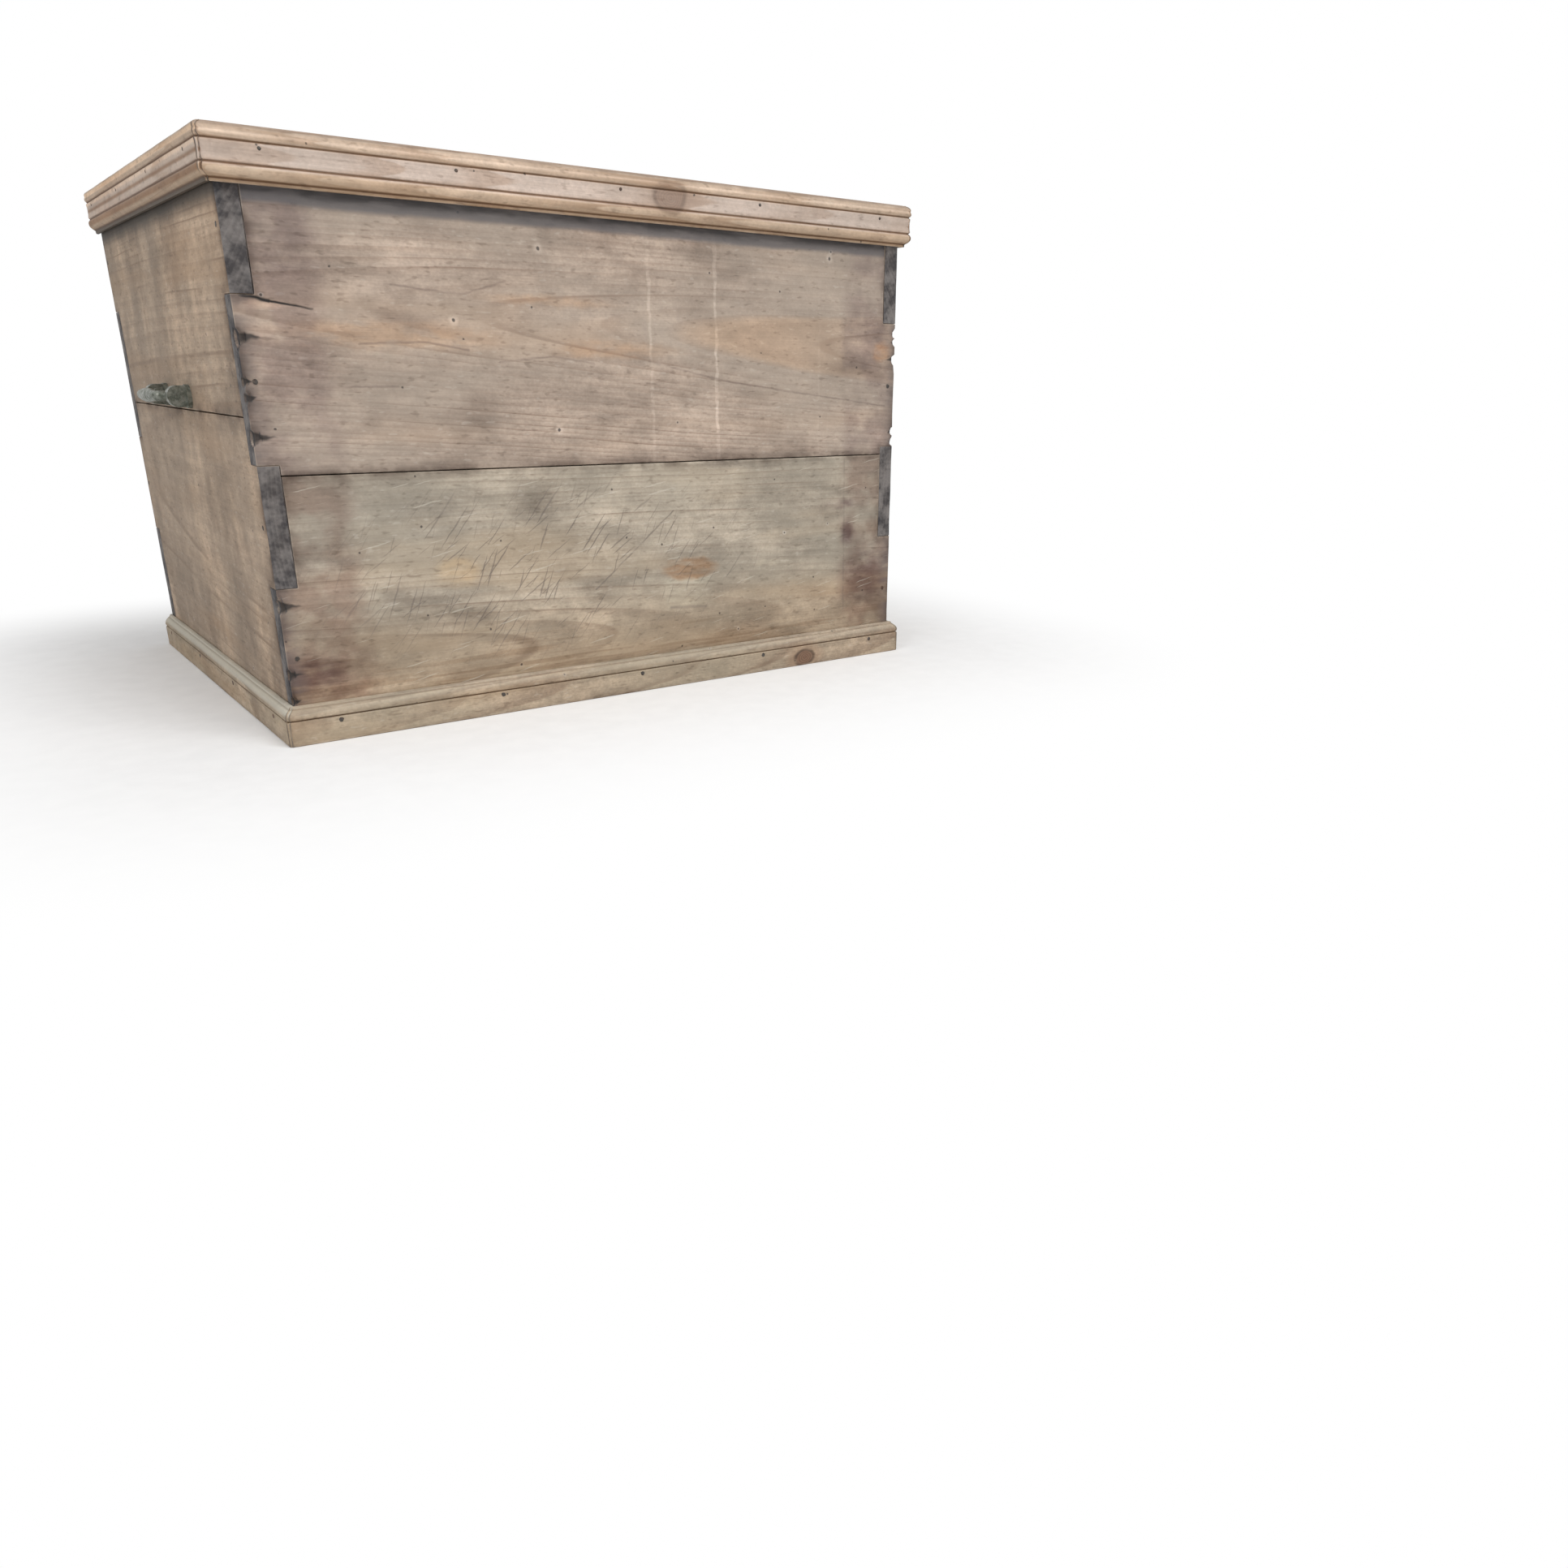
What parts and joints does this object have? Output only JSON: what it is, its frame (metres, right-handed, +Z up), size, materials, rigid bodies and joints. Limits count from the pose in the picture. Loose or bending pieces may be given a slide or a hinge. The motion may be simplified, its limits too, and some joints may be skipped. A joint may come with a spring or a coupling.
{
  "type": "pine chest",
  "caption": "Pine chest with finger-jointed board walls, moulded plinth, hinged flat lid with a mitred reeded moulding, and a swinging bail handle on each end.",
  "frame": {"origin": "on the floor under the middle of the chest's body", "axes": "+X to the right along the front, +Y to the back, +Z up"},
  "size_m": [0.7878, 0.5641, 0.508],
  "materials": {
    "wall_pine": "bare old pine, tan brown, worn and scratched, dry",
    "end_pine": "bare old pine, greyer brown, dry",
    "bottom_pine": "rough bare pine",
    "plinth_pine": "bare old pine, worn pale on its rounded top",
    "lid_pine": "old pine, rubbed smooth",
    "moulding_pine": "honey coloured old pine, rubbed smooth",
    "handle_metal": "dull grey-green patina, worn bright on top",
    "hinge_iron": "dark iron with a little rust",
    "nail_iron": "black rusted iron"
  },
  "bodies": {
    "chest": {"front_lower_board": "wall_pine", "front_upper_board": "wall_pine", "back_lower_board": "wall_pine", "back_upper_board": "wall_pine", "left_end_lower_board": "end_pine", "left_end_upper_board": "end_pine", "right_end_lower_board": "end_pine", "right_end_upper_board": "end_pine", "bottom_board_1": "bottom_pine", "bottom_board_2": "bottom_pine", "bottom_board_3": "bottom_pine", "plinth_front": "plinth_pine", "plinth_left": "plinth_pine", "plinth_right": "plinth_pine", "left_handle_front_eye": "handle_metal", "left_handle_back_eye": "handle_metal", "left_handle_washers": "handle_metal", "left_handle_nuts": "handle_metal", "right_handle_front_eye": "handle_metal", "right_handle_back_eye": "handle_metal", "right_handle_washers": "handle_metal", "right_handle_nuts": "handle_metal", "left_hinge_back_leaf": "hinge_iron", "right_hinge_back_leaf": "hinge_iron", "left_hinge_pin": "hinge_iron", "right_hinge_pin": "hinge_iron", "hinge_screws_back": "hinge_iron", "corner_nails": "nail_iron", "bottom_nails": "nail_iron", "plinth_nails": "nail_iron"},
    "lid": {"lid_board_1": "lid_pine", "lid_board_2": "lid_pine", "lid_board_3": "lid_pine", "lid_moulding_front": "moulding_pine", "lid_moulding_left": "moulding_pine", "lid_moulding_right": "moulding_pine", "left_hinge_lid_leaf": "hinge_iron", "right_hinge_lid_leaf": "hinge_iron", "hinge_screws_lid": "hinge_iron", "lid_moulding_nails": "nail_iron"},
    "left_bail": {"left_handle_bail": "handle_metal"},
    "right_bail": {"right_handle_bail": "handle_metal"}
  },
  "joints": [
    {"name": "lid_hinge", "type": "hinge", "parent": "chest", "child": "lid", "pos_m": [0, 0.2766, 0.488], "axis": [-1, 0, 0], "range_deg": [0, 105]},
    {"name": "left_bail_swing", "type": "hinge", "parent": "chest", "child": "left_bail", "pos_m": [-0.371, 0, 0.301], "axis": [0, -1, 0], "range_deg": [-100, 100]},
    {"name": "right_bail_swing", "type": "hinge", "parent": "chest", "child": "right_bail", "pos_m": [0.371, 0, 0.301], "axis": [0, 1, 0], "range_deg": [-100, 100]}
  ]
}
